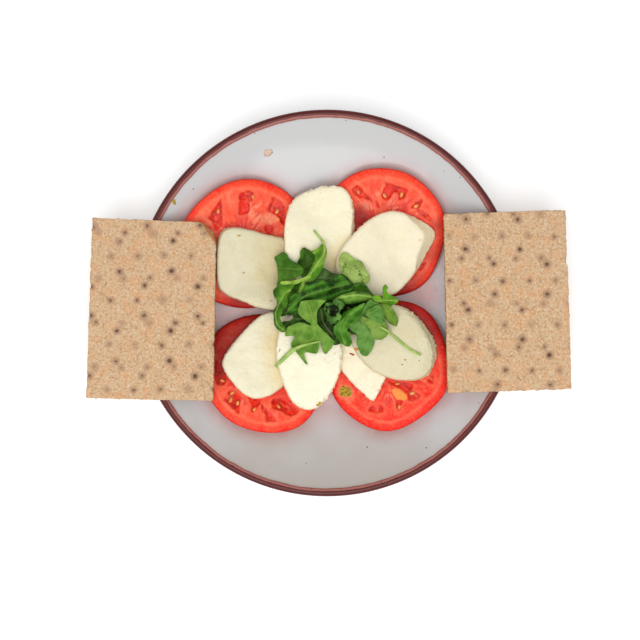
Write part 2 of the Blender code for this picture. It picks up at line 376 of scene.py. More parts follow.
def makePlate():
    bm = bmesh.new()
    chain = [bm.verts.new((radius * mm, 0, height * mm)) for radius, height in plateProfile()]
    edges = [bm.edges.new(pair) for pair in zip(chain, chain[1:])]
    bmesh.ops.spin(bm, geom=chain + edges, cent=(0, 0, 0), axis=(0, 0, 1), angle=math.tau,
                   steps=plate["segments"], use_merge=True)
    bmesh.ops.remove_doubles(bm, verts=bm.verts, dist=1e-6)
    bmesh.ops.recalc_face_normals(bm, faces=bm.faces)
    mesh = meshOf(bm, "stonewarePlate")
    # painted red light bounced from the tomatoes, with painted shade in the gaps: strongest near the tomatoes
    # and in the listed spots
    surfaces = surfacesOf(tomatoes)
    gaps = [[surface.find_nearest(vert.co)[3] / mm for surface in surfaces] for vert in mesh.vertices]
    juice = np.clip(np.exp(-np.array(gaps) / plate["juice"]).sum(1) - plate["leastJuice"], 0, 1)
    upward = [vert.normal.z > 0 for vert in mesh.vertices]  # the painted bounce light and shade stays on the eating side
    carry(mesh, "juice", (juice + nearSpots(corners(mesh), plate["puddles"])) * upward)

    look = Look("stonewareGlaze", {"Coat Roughness": 0.1, "Specular IOR Level": 0.35})
    x, y, z = look.axes()
    radius = (x * x + y * y).root() * 1000
    ragged = look.clouds(7, 3) - 0.5
    edge = radius + ragged * 1.3
    lip = edge.band(119.4, 120.1) * (z * 1000).band(25.5, 27)
    # the pale line along the lip's crest is a painted highlight
    brown = look.paint(plate["redBrown"], (plate["brown"], edge.band(121, 121.8)),
                       (plate["worn"], edge.band(120.1, 120.6) * edge.band(121.4, 120.9) * 0.6),
                       (plate["darkBrown"], look.clouds(2.2, 3, 4).band(0.55, 0.75) * 0.5))
    # painted shade: the glaze turns darker and warmer towards the south side
    southern = (y * 1000 + (look.clouds(38, 2, 1) - 0.5) * 80).band(-55, -112)
    glaze = look.mix(plate["glaze"], plate["warmGlaze"], southern)
    # painted red bounce light and painted shade near the tomatoes
    juice = look.reading("juice") * look.clouds(7, 3, 5).band(0.1, 0.55)
    glaze = look.mix(glaze, plate["juiceTint"], juice, "MULTIPLY")
    speck = look.cells(9).band(0.07, 0.045) * look.clouds(21, 1, 3).band(0.5, 0.56)
    bare = (z * 1000).band(0.9, 0.5)  # the foot stands on bare clay
    colour = look.paint(glaze, (plate["speck"], speck), (brown, lip), (plate["clay"], bare))
    waves = look.clouds(14, 1, 8) * 0.12 + look.clouds(1.4, 2, 2) * 0.012 + lip * 0.08
    look.feed(colour, look.clouds(3, 2, 6) * 0.08 + 0.13 + bare * 0.6 + lip * 0.2, waves, 0.15 - lip * 0.13)
    return addPiece("stonewarePlate", mesh, look, ["plate"])


# mozzarella

cheese = {"voxel": 0.55, "dome": 0.45, "dent": 0.3, "ragged": 0.34, "thinned": 0.55,
          "rindTint": (0.9, 0.86, 0.76, 1), "warmTint": (0.9, 0.79, 0.56, 1),
          **shades(speck=(190, 158, 84), stain=(224, 202, 152))}
cheese["slices"] = {  # a slant is a sloping edge's direction, spread and width; the others are circles: torn edges, and painted shade where slices meet and beside the heap
    # each slice's tint is partly the curd's own tone and partly painted light and shade, matched to how
    # bright the slice looks: darker and yellower on slices 1 and 7, beside the crispbreads
    1: {"tint": (222, 215, 184), "slant": (140, 60, 2), "torn": [(-25, 38, 12, 1)],
        "warm": [(-30, 32, 28, 0.8), (-30, 12, 22, 0.7)]},
    2: {"tint": (246, 238, 208), "slant": (15, 45, 2.6),
        "torn": [(-4, 74, 16, 2.2), (17, 60, 10, 1.5), (-23, 64, 9, 1)],
        "warm": [(4, 27, 12, 0.8), (12, 38, 8, 0.5), (-12, 30, 9, 0.4)]},
    3: {"tint": (243, 233, 204), "slant": (18, 48, 9.5), "torn": [(18, 48, 12, 0.8), (72, 30, 16, 0.8)],
        "warm": [(7, 26, 10, 0.7)]},
    4: {"tint": (238, 231, 203), "torn": [(-70, -30, 14, 0.6)],
        "warm": [(-34, -20, 14, 0.7), (-32, -32, 15, 0.8), (-30, -44, 14, 0.7), (-28, -54, 11, 0.5)]},
    5: {"tint": (251, 242, 216), "torn": [(0, -63, 15, 2), (8, -36, 12, 1.6), (-28, -30, 12, 1.2)]},
    6: {"tint": (250, 239, 212), "torn": [(11, -30, 12, 1.4), (30, -56, 10, 1.2)]},
    7: {"tint": (221, 212, 178), "slant": (0, 62, 4.4), "torn": [(68, -28, 20, 1.6), (56, -6, 10, 1.6)],
        "warm": [(50, -18, 12, 0.3)]}}


def cheeseLook():
    look = Look("mozzarellaCurd", {**glow(0.35, (1, 0.85, 0.55), 2), "Specular IOR Level": 0.35})
    marbled = look.clouds(6, 4, 1)
    tint = look.reading("tint", "Color")
    # painted shade: the sides and sloping edges turn darker and yellower; the marbling also darkens the curd
    # at random
    rind = look.reading("rind")
    colour = look.mix(tint, cheese["rindTint"], marbled.band(0.42, 0.75) * 0.3 + rind * 0.8, "MULTIPLY")
    # painted shade, warm and darker, where slices meet and beside the heap
    colour = look.mix(colour, cheese["warmTint"], look.reading("warm") * (marbled * 0.4 + 0.8), "MULTIPLY")
    stain = look.clouds(3, 4, 8).band(0.6, 0.72) * look.clouds(15, 1, 9).band(0.5, 0.6)
    speck = look.cells(5.2).band(0.075, 0.05) * look.clouds(13, 1, 5).band(0.5, 0.55)
    colour = look.paint(colour, (cheese["stain"], stain * 0.6), (cheese["speck"], speck * 0.7))
    pores = look.cells(1.1, "SMOOTH_F1").band(0.1, 0.42)
    height = marbled * 0.5 + look.clouds(2.2, 4, 2) * 0.4 + pores * (rind * 0.14 + 0.05)
    look.feed(colour, look.clouds(4, 3, 7) * 0.25 + 0.32, height)
    return look


def underside(spots, facing):  # the height of a slice's underside at each spot
    flat = spots[facing[:, 2] < -0.7]
    tree = KDTree(len(flat))
    for number, (x, y, _) in enumerate(flat):
        tree.insert((x, y, 0), number)
    tree.balance()
    return np.array([flat[tree.find((x, y, 0))[1], 2] for x, y, _ in spots])


def makeCheese():
    look, made = cheeseLook(), []
    for number, cut in cheese["slices"].items():
        node = f"mozzarella_slice_{number}"
        mesh = fineCopy(node, cheese["voxel"], 2)
        spots, facing = corners(mesh), facings(mesh)
        turn, rim = fromRim(spots)
        # the slice's sides, painted shaded in the material and made rougher below
        rind = np.clip(1.25 - 1.6 * np.abs(facing[:, 2]), 0, 1)
        torn = 1 + 2 * nearSpots(spots, cut["torn"])
        domes = np.array([noise.noise(Vector(spot) / 19 + Vector((0, number, 0))) for spot in spots])
        push = crumpled(spots, 7, 2, (number, 0, 0)) * cheese["dent"] + domes * cheese["dome"]
        push += (crumpled(spots, 1.9, 2) - 0.25) * cheese["ragged"] * np.minimum(rind + 0.1 * torn, 1) * torn
        spots += facing * push[:, None]
        if "slant" in cut:
            direction, spread, width = cut["slant"]
            off = np.degrees(np.abs((turn - math.radians(direction) + math.pi) % math.tau - math.pi))
            wide = width * np.clip(1 - off / spread, 0, 1) ** 0.8 + 0.01
            slant = np.clip(1 - rim / wide, 0, 1)
            above = np.maximum(spots[:, 2] - underside(spots, facing), 0)
            spots[:, 2] -= above * cheese["thinned"] * slant
            # the sloping edge is painted shaded as well
            rind = np.maximum(rind, 0.9 * np.clip(slant * 6, 0, 1) * np.clip(wide, 0, 1))
        shift(mesh, spots)
        carry(mesh, "rind", rind)
        carry(mesh, "warm", np.clip(nearSpots(spots, cut.get("warm", [(0, 0, 1, 0)])), 0, 1))
        carryTint(mesh, np.tile(shade(*cut["tint"]), (len(spots), 1)))
        made.append(addPiece(f"mozzarellaSlice{number}", mesh, look, [node]))
    return made


cheeses = makeCheese()
print("mozzarella made")


# tomatoes

tomato = {
    "voxel": 0.6, "gelDepth": 0.6, "bank": 1.8, "scarSize": 5.6,
    "seedLength": 3.7, "seedWidth": 0.58, "seedDepth": 0.34, "seedLift": 0.25,  # width and depth in lengths
    **shades(flesh=(255, 84, 52), paleFlesh=(255, 128, 94), redFlesh=(242, 40, 26), skin=(228, 30, 20),
             gel=(236, 46, 22), deepGel=(196, 18, 8), film=(244, 126, 96), core=(250, 158, 122),
             heart=(226, 58, 50), shaded=(140, 12, 10), pulp=(248, 158, 74), seed=(232, 148, 52),
             paleSeed=(238, 168, 84), seedCoat=(222, 100, 34), seedRing=(170, 48, 20), banks=(176, 26, 20),
             scar=(196, 170, 50), scarDark=(118, 84, 30))}
tomato["slices"] = {  # outlines as seen from above, in millimetres; the shaded circles darken the flesh with painted shade
    "tomato_slice_1": {
        "pockets": [[(-68, 67.5), (-68, 59.5), (-68, 52.5), (-69.5, 49), (-72, 47.5), (-75, 52.5),
            (-77.5, 54.5), (-76, 57.5), (-72.5, 62), (-69.5, 66.5)],
           [(-57.5, 71), (-52.5, 72.5), (-48, 72.5), (-47, 69), (-49.5, 66), (-52, 66.5), (-56.5, 66.5)],
           [(-56.5, 66), (-52, 66.5), (-50, 62.5), (-52, 58.5), (-57.5, 57.5), (-57, 61.5)],
           [(-35, 70), (-28, 64), (-27, 59.5), (-27, 50.5), (-30, 52.5), (-33.5, 57.5), (-38, 59.5),
            (-39.5, 61), (-36.5, 66.5)],
           [(-40.5, 51), (-35.5, 50.5), (-34.5, 48), (-35.5, 45), (-39, 45), (-40.5, 48)]],
        "cores": [[(-39.5, 58.5), (-35.5, 59.5), (-32.5, 57), (-32.5, 52.5), (-35.5, 50.5), (-42, 53),
            (-46, 56)],
           [(-53, 63), (-48, 61), (-44, 55), (-48, 52), (-51, 57)]],
        "ripe": 0,
        "pulps": [],
        "seeds": [(-70.5, 59.5, 80), (-48, 69, 95), (-32.5, 60, 60), (-32, 55, 120)],
        "shaded": [(-58, -2, 16, 1), (-40, -3, 14, 0.9), (-40, 48, 14, 0.3)]},
    "tomato_slice_2": {
        "pockets": [[(16.5, 74.5), (20.5, 77), (25, 71.5), (29, 67.5), (29, 66), (24, 68.5), (21, 68.5),
            (17, 72)],
           [(38, 78.5), (43.5, 77), (50.5, 74.5), (52, 73), (51, 69.5), (48.5, 67), (46.5, 67.5),
            (46.5, 70.5), (43.5, 72), (41.5, 69), (39, 67), (36.5, 68), (35.5, 70), (37.5, 76)],
           [(32, 67), (33.5, 65.5), (34.5, 62.5), (33, 62.5), (32, 64.5)],
           [(54.5, 62.5), (61.5, 68), (62, 66), (61, 63), (58.5, 61.5)],
           [(59, 61), (65, 58.5), (68, 54.5), (68.5, 52), (62.5, 56), (59.5, 58.5)],
           [(60, 20.5), (62.5, 22.5), (64.5, 27), (62.5, 26), (60.5, 23.5)]],
        "cores": [[(41, 66.5), (44.5, 70.5), (47, 66.5), (46, 63.5), (39.5, 63.5)],
           [(22, 66), (28, 65), (30, 61), (24, 60)]],
        "ripe": 0.1,
        "pulps": [],
        "seeds": [(20.5, 72.5, 110), (37.5, 70, 125), (48.5, 70.5, 75), (58, 63, 25)],
        "shaded": [(50, 8, 24, 0.9), (70, 32, 14, 0.5), (20, 56, 12, 1.2), (72, 50, 8, 0.6)]},
    "tomato_slice_3": {
        "pockets": [[(-63.5, -56.5), (-57, -59), (-56, -61.5), (-56.5, -65), (-57.5, -72), (-60, -70),
            (-64, -66), (-67, -63), (-65.5, -60.5)],
           [(-51.5, -61), (-47, -61), (-43, -61.5), (-43.5, -65), (-45, -67.5), (-48, -71), (-49.5, -69.5),
            (-49, -66.5), (-50.5, -64)],
           [(-42.5, -65.5), (-40.5, -67.5), (-33, -76.5), (-39.5, -77), (-40.5, -73), (-42.5, -69.5)],
           [(-35.5, -63), (-27, -61.5), (-23.5, -65.5), (-19, -69), (-19.5, -72), (-23.5, -74),
            (-30.5, -70.5), (-34, -69.5), (-36, -67.5)],
           [(-72.5, -38), (-67.5, -38.5), (-66, -52), (-72.5, -52)]],
        "cores": [], "ripe": 0.3,
        "pulps": [],
        "seeds": [(-62.5, -63, 65), (-58, -65, 80), (-61.5, -58.5, 30), (-47, -69, 45), (-31.5, -67.5, -50),
            (-68, -50.5, -10)],
        "shaded": [(-66, -20, 28, 1.5), (-50, -6, 18, 1), (-70, -44, 10, 0.9)]},
    "tomato_slice_4": {
        "pockets": [[(40, -49.5), (44.5, -50.5), (53.5, -52), (56, -54), (55, -56.5), (52, -59), (47, -55),
            (40.5, -52.5)],
           [(52.5, -57.5), (56, -57), (61, -59.5), (59, -62.5), (54.5, -63.5), (52, -62)],
           [(45, -63.5), (49.5, -63.5), (48, -66.5), (48, -69), (46, -70), (45, -66.5)],
           [(27, -70), (29.5, -66.5), (35.5, -66.5), (37, -70.5), (31.5, -71.5)],
           [(65, -49.5), (69, -46), (69, -52), (66.5, -51.5)]],
        "cores": [], "ripe": 1,
        "pulps": [[(43, -56), (47, -56), (53, -61), (51, -63), (47, -63.5), (42.5, -58.5)]],
        "seeds": [(46, -52.5, 10), (55.5, -58.5, 20), (47, -67.5, 80)],
        "shaded": [(52, 4, 26, 1.6), (70, -14, 22, 1), (14, -40, 10, 0.5)], "scar": (12.5, -58.5)}}


def deepest(spots, rings):  # how far inside the nearest of several outlines
    if not rings:
        return np.full(len(spots), -5.0)
    return np.max([depthIn(spots, smoothLine(ring, True, 5)) for ring in rings], axis=0)


def tomatoLook():
    look = Look("cutTomato", {**glow(0.25, (1, 0.25, 0.15), 1.6), "Coat Roughness": 0.08,
                              "Specular IOR Level": 0.14})
    ragged, torn = look.clouds(2.2, 4, 1) - 0.5, look.clouds(6, 3, 12) - 0.5
    pocket = look.reading("pocket") + ragged * 2.8 + torn * 2.4
    rim = look.reading("rim") + torn * 2.4
    fibre = look.reading("fibre", "Vector")
    strands = look.node("ShaderNodeTexNoise", {}, {"Vector": fibre, "Scale": 1, "Detail": 3})
    streaks = look.node("ShaderNodeTexNoise", {},
                        {"Vector": fibre, "Scale": 1.1, "Detail": 4, "Distortion": 1.6})
    ripe = look.reading("ripe")
    redness = look.clouds(8, 3, 3).band(0.46, 0.7) * 0.5 + ripe * 0.55 + rim.band(5, 3) * 0.35
    heart = rim.band(9, 17)
    hearts = look.clouds(7, 3, 14).band(0.42, 0.6) * heart
    fibres = streaks.band(0.5, 0.66) * look.clouds(6, 2, 16).band(0.4, 0.55) * heart
    cores = (look.reading("core") + ragged * 4 + torn * 3).band(-1.6, 2) * streaks.band(0.3, 0.6)
    flesh = look.paint(tomato["flesh"],
                       (tomato["paleFlesh"], strands.band(0.42, 0.72) * rim.band(3, 7) * (1 - ripe * 0.6)),
                       (tomato["redFlesh"], redness),
                       (tomato["paleFlesh"], rim.band(4.5, 6) * rim.band(8, 6.5) * 0.45),
                       (tomato["paleFlesh"], look.clouds(1.4, 3, 17).band(0.48, 0.7) * 0.4),
                       (tomato["skin"], look.clouds(2.4, 3, 18).band(0.54, 0.75) * 0.35),
                       (tomato["heart"], hearts * 0.8),
                       (tomato["core"], fibres * 0.7),
                       (tomato["paleFlesh"], pocket.band(-3.4, -0.9) * 0.3),
                       (tomato["core"], cores * 0.8),
                       (tomato["pulp"], (look.reading("pulp") + ragged * 1.5).band(-0.6, 0.8)))
    flesh = look.mix(tomato["skin"], flesh, (look.reading("rim") + ragged * 0.8).band(0.2, 1.5))
    ring = look.reading("seedGap").band(3, 1.9) * pocket.band(-0.2, 0.5)
    # the pale film streaks in the gel are partly its membranes, partly a painted sheen
    gel = look.paint(tomato["deepGel"], (tomato["gel"], look.clouds(4, 3, 5).band(0.36, 0.56)),
                     (tomato["film"], streaks.band(0.52, 0.7) * 0.55), (tomato["seedRing"], ring * 0.4))
    inside = pocket.band(-0.7, 0.9)
    bank = pocket.band(-0.6, 0.1) * pocket.band(0.7, 0.1)  # a darker line where the flesh drops into the gel
    scarGap, size = look.reading("scar") + ragged * 5 + torn * 10, tomato["scarSize"]
    scar = look.mix(tomato["scarDark"], tomato["scar"], look.clouds(1.3, 3, 8).band(0.36, 0.56))
    # the last coat is painted shade, in the narrow gaps beside cheese and crispbread
    colour = look.paint(flesh, (gel, inside), (tomato["banks"], bank * 0.2),
                        (tomato["core"], scarGap.band(size * 1.4, size * 0.8) * 0.35),
                        (scar, scarGap.band(size * 0.75, size * 0.6)),
                        (tomato["shaded"], look.reading("shaded") + (look.clouds(4, 3, 11) - 0.5) * 0.3))
    height = strands * 0.3 + look.clouds(0.8, 3, 2) * 0.14 + look.clouds(3, 2, 9) * 0.35 * (1 - inside)
    look.feed(colour, look.clouds(2, 2, 6) * 0.2 + 0.3 - inside * 0.16, height, inside * 0.07)
    return look


def seedMesh(bm, spot, angle, size):
    made = bmesh.ops.create_uvsphere(bm, u_segments=14, v_segments=9, radius=0.5)["verts"]
    for vert in made:
        x = vert.co.x
        pinch = 1 - 0.45 * max(0, x * 2) ** 1.5
        y, z = vert.co.y * tomato["seedWidth"] * pinch, vert.co.z * tomato["seedDepth"]
        vert.co = (x * size * mm, y * size * mm, z * size * mm)
    bmesh.ops.rotate(bm, verts=made, cent=(0, 0, 0), matrix=Matrix.Rotation(math.radians(angle), 3, "Z"))
    bmesh.ops.translate(bm, verts=made, vec=spot)


def makeTomatoes():
    look = tomatoLook()
    seeds = bmesh.new()
    random.seed(4)
    made = []
    for number, (node, cut) in enumerate(tomato["slices"].items()):
        mesh = fineCopy(node, tomato["voxel"], 2)
        spots, facing = corners(mesh), facings(mesh)
        turn, rim = fromRim(spots)
        pocket = np.clip(deepest(spots, cut["pockets"]), -5, 5)
        seedGap = np.min([np.hypot(spots[:, 0] - x, spots[:, 1] - y) for x, y, _ in cut["seeds"]], axis=0)
        top = np.clip(facing[:, 2] * 2 - 0.6, 0, 1)
        sunk = np.clip((pocket + 0.3) / tomato["bank"], 0, 1)
        sunk = sunk * sunk * (3 - 2 * sunk) * tomato["gelDepth"]
        spots[:, 2] += top * (-sunk + crumpled(spots, 5, 3) * 0.2 - 0.15)
        scar = np.full(len(spots), 20.0)
        if "scar" in cut:
            scar = np.hypot(spots[:, 0] - cut["scar"][0], spots[:, 1] - cut["scar"][1])
            corky = 0.3 + 0.8 * crumpled(spots, 1.1, 2)
            spots[:, 2] += top * np.clip(1 - scar / tomato["scarSize"], 0, 1) * corky
        shift(mesh, spots)
        for name, values in (("pocket", pocket), ("rim", rim), ("core", deepest(spots, cut["cores"])),
                             ("pulp", deepest(spots, cut["pulps"])), ("seedGap", seedGap), ("scar", scar)):
            carry(mesh, name, values)
        # painted shade for the material
        carry(mesh, "shaded", np.clip(nearSpots(spots, cut["shaded"]), 0, 0.8))
        carry(mesh, "ripe", np.full(len(spots), cut["ripe"]))
        fibre = np.stack([np.cos(turn) * 6 + number * 5, np.sin(turn) * 6, rim / 11], axis=1)
        mesh.attributes.new("fibre", "FLOAT_VECTOR", "POINT").data.foreach_set("vector", fibre.ravel())
        made.append(addPiece(f"tomatoSlice{number + 1}", mesh, look, [node]))
        surface = surfacesOf(made[-1:])[0]
        for x, y, angle in cut["seeds"]:
            place = plumb(surface, x, y)[0] + Vector((0, 0, tomato["seedLift"] * mm))
            seedMesh(seeds, place, angle, tomato["seedLength"] * random.uniform(0.85, 1.1))
    look = Look("tomatoSeed", {**glow(0.3, (1, 0.6, 0.25), 1), "Coat Weight": 0.25, "Coat Roughness": 0.08})
    colour = look.paint(tomato["seed"], (tomato["paleSeed"], look.clouds(9, 1, 2).band(0.4, 0.6)),
                        (tomato["seedCoat"], look.clouds(1.3, 2).band(0.45, 0.65) * 0.8))
    look.feed(colour, look.clouds(1, 2) * 0.2 + 0.2, look.clouds(0.5, 2) * 0.08)
    addPiece("tomatoSeeds", meshOf(seeds, "tomatoSeeds"), look)
    return made


tomatoes = makeTomatoes()
print("tomatoes made")
stoneware = makePlate()
print("plate made")


# crispbreads

crispbread = {
    "voxel": 0.7, "row": 14.3, "column": 17, "period": 57.6, "pair": 19.1, "jitter": 0.5,
    "holeDepth": 1.1, "dimpleDepth": 0.6,
    "breads": {
        "crispbread_left": {"name": "crispbreadLeft", "lean": 0.03, "dimples": (-146.3, 44.7),
                            "holes": (-150.8, 10.7)},
        "crispbread_right": {"name": "crispbreadRight", "lean": -0.035, "dimples": (77.5, 42.8),
                             "holes": (90.4, 53.3)}},
    "brokenFrom": (-81, 53.5), "brokenTo": (-70.4, 38.5),
    **shades(crumb=(210, 178, 141), rosy=(194, 150, 109), flour=(240, 218, 188), toasted=(224, 162, 112),
             baked=(160, 110, 70), hole=(88, 62, 47), dimple=(122, 90, 68), halo=(176, 141, 112),
             broken=(166, 112, 60))}


def nearestHole(spots, holes):  # 1 at the middle of a hole, 0 at its edge, less outside
    return np.max([strength * (1 - np.hypot(spots[:, 0] - x, spots[:, 1] - y) / size)
                   for x, y, size, strength in holes], axis=0)


def breadLook():
    look = Look("bakedRye", {"Specular IOR Level": 0.25})
    grains = look.clouds(1.6, 4, 1)
    ragged = look.clouds(1.5, 3, 3) - 0.5
    dimple, hole = look.reading("dimple") + ragged * 0.7, look.reading("hole") + ragged * 0.7
    crack = look.cells(26, "DISTANCE_TO_EDGE").band(0.02, 0.004) * look.clouds(11, 2, 9).band(0.54, 0.62)
    colour = look.paint(crispbread["crumb"],
                        (crispbread["rosy"], grains.band(0.47, 0.62)),
                        (crispbread["toasted"], look.clouds(7, 3, 6).band(0.46, 0.66) * 0.4),
                        (crispbread["flour"], look.clouds(1.2, 3, 4).band(0.53, 0.66) * 0.5),
                        (crispbread["halo"], dimple.band(-0.3, 0.35) * 0.7),
                        (crispbread["dimple"], dimple.band(0.3, 0.8) * 0.85),
                        (crispbread["halo"], hole.band(-0.45, 0.2) * 0.8),
                        (crispbread["hole"], hole.band(0.2, 0.7) * 0.9),
                        (crispbread["baked"], crack * 0.3),
                        (crispbread["baked"], look.reading("side") * 0.45),
                        (crispbread["broken"], look.reading("broken")))
    bubbles = look.cells(2.1, "SMOOTH_F1").band(0.05, 0.5)
    blisters = bubbles * (look.reading("side") * 0.6 + 0.12)
    height = grains * 0.8 + look.clouds(0.6, 3, 5) * 0.35 + blisters - crack * 0.2
    look.feed(colour, grains * 0.1 + 0.75, height)
    return look


def makeCrispbreads():
    look, jitter = breadLook(), crispbread["jitter"]
    random.seed(11)
    for node, bread in crispbread["breads"].items():
        mesh = fineCopy(node, crispbread["voxel"], 0)
        spots, facing = corners(mesh), facings(mesh)
        holes, dimples = [], []
        for column in range(6):
            for repeat in range(-3, 3):
                for drop in (0, crispbread["pair"]):
                    y = bread["holes"][1] - crispbread["period"] * (repeat + column % 2 / 2) - drop
                    x = bread["holes"][0] + crispbread["column"] * column + bread["lean"] * y
                    holes.append((x + random.uniform(-jitter, jitter), y + random.uniform(-jitter, jitter),
                                  random.uniform(2.2, 2.9), random.uniform(0.6, 1)))  # place, size, depth
        for row in range(-1, 9):
            for column in range(-1, 6):
                y = bread["dimples"][1] - crispbread["row"] * row
                x = bread["dimples"][0] + crispbread["column"] * (column + row % 2 / 2)
                x += bread["lean"] * (y - 44)
                dimples.append((x + random.uniform(-jitter, jitter), y + random.uniform(-jitter, jitter),
                                random.uniform(2.3, 3), random.uniform(0.45, 1)))
        hole, dimple = nearestHole(spots, holes), nearestHole(spots, dimples)
        side = np.clip(1.3 - 2 * np.abs(facing[:, 2]), 0, 1)
        bumps, chips = crumpled(spots, 8, 3) * 0.4, crumpled(spots, 2.4, 3) * 0.5
        push = bumps * (1 - side) - 0.3 + chips * (0.2 + 1.3 * side) - 0.35 * side
        start, end = np.array(crispbread["brokenFrom"]), np.array(crispbread["brokenTo"])
        broken = np.clip(1.6 - fromLine(spots, np.array([start, end]))[0] / 1.2, 0, 1)
        push = np.minimum(push, 0) - broken * 1.2 * np.abs(chips)
        push = push - crispbread["holeDepth"] * np.clip(hole, 0, 1)
        push = push - crispbread["dimpleDepth"] * np.clip(dimple, 0, 1)
        shift(mesh, spots + facing * push[:, None])
        for name, values in (("hole", hole), ("dimple", dimple), ("side", side), ("broken", broken)):
            carry(mesh, name, values)
        addPiece(bread["name"], mesh, look, [node])


makeCrispbreads()
print("crispbreads made")


# rocket

